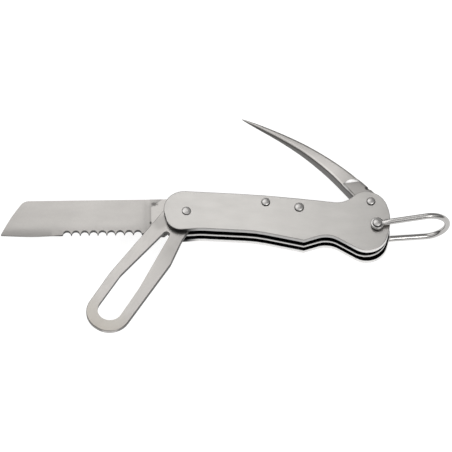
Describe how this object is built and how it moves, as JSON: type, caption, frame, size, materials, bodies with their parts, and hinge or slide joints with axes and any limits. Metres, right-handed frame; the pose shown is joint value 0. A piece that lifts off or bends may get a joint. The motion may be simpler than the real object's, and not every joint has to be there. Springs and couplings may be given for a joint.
{
  "type": "rigging knife",
  "caption": "Stainless folding rigging knife: sheepsfoot blade with serrations, slotted shackle key, curved marlinspike and a wire lanyard bail.",
  "frame": {"origin": "middle of the rear scale's outer face, between the blade pivot and the bail pin", "axes": "+X along the handle towards the bail, +Y towards the back of the handle, +Z through the rivets towards the front scale"},
  "size_m": [0.2184, 0.1265, 0.0227],
  "materials": {
    "brushed_stainless": "satin, brushed along the handle",
    "ground_stainless": "ground satin",
    "polished_stainless": "polished",
    "spring_steel": "plain ground spring steel"
  },
  "bodies": {
    "handle": {"front_scale": "brushed_stainless", "rear_scale": "brushed_stainless", "centre_liner": "brushed_stainless", "blade_spring": "spring_steel", "key_spring": "spring_steel", "blade_pivot_pin": "polished_stainless", "spring_pin_left": "polished_stainless", "spring_pin_right": "polished_stainless", "spike_pivot_pin": "polished_stainless", "bail_pin": "polished_stainless", "bail_spacer_rear": "polished_stainless", "bail_spacer_front": "polished_stainless", "bail_washer_rear": "polished_stainless", "bail_washer_front": "polished_stainless"},
    "blade": {"knife_blade": "ground_stainless"},
    "key": {"shackle_key": "ground_stainless"},
    "spike": {"marlin_spike": "ground_stainless"},
    "bail": {"wire_bail": "polished_stainless"}
  },
  "joints": [
    {"name": "blade_pivot", "type": "hinge", "parent": "handle", "child": "blade", "pos_m": [-0.045, 0, 0], "axis": [0, 0, 1], "range_deg": [0, 165.8]},
    {"name": "key_pivot", "type": "hinge", "parent": "handle", "child": "key", "pos_m": [-0.045, 0, 0], "axis": [0, 0, 1], "range_deg": [-54.7, 111]},
    {"name": "spike_pivot", "type": "hinge", "parent": "handle", "child": "spike", "pos_m": [0.0444, 0.0131, 0], "axis": [0, 0, 1], "range_deg": [-137.2, 35.8]},
    {"name": "bail_pivot", "type": "hinge", "parent": "handle", "child": "bail", "pos_m": [0.0484, 0, 0], "axis": [0, 0, 1], "range_deg": [-145, 75]}
  ]
}
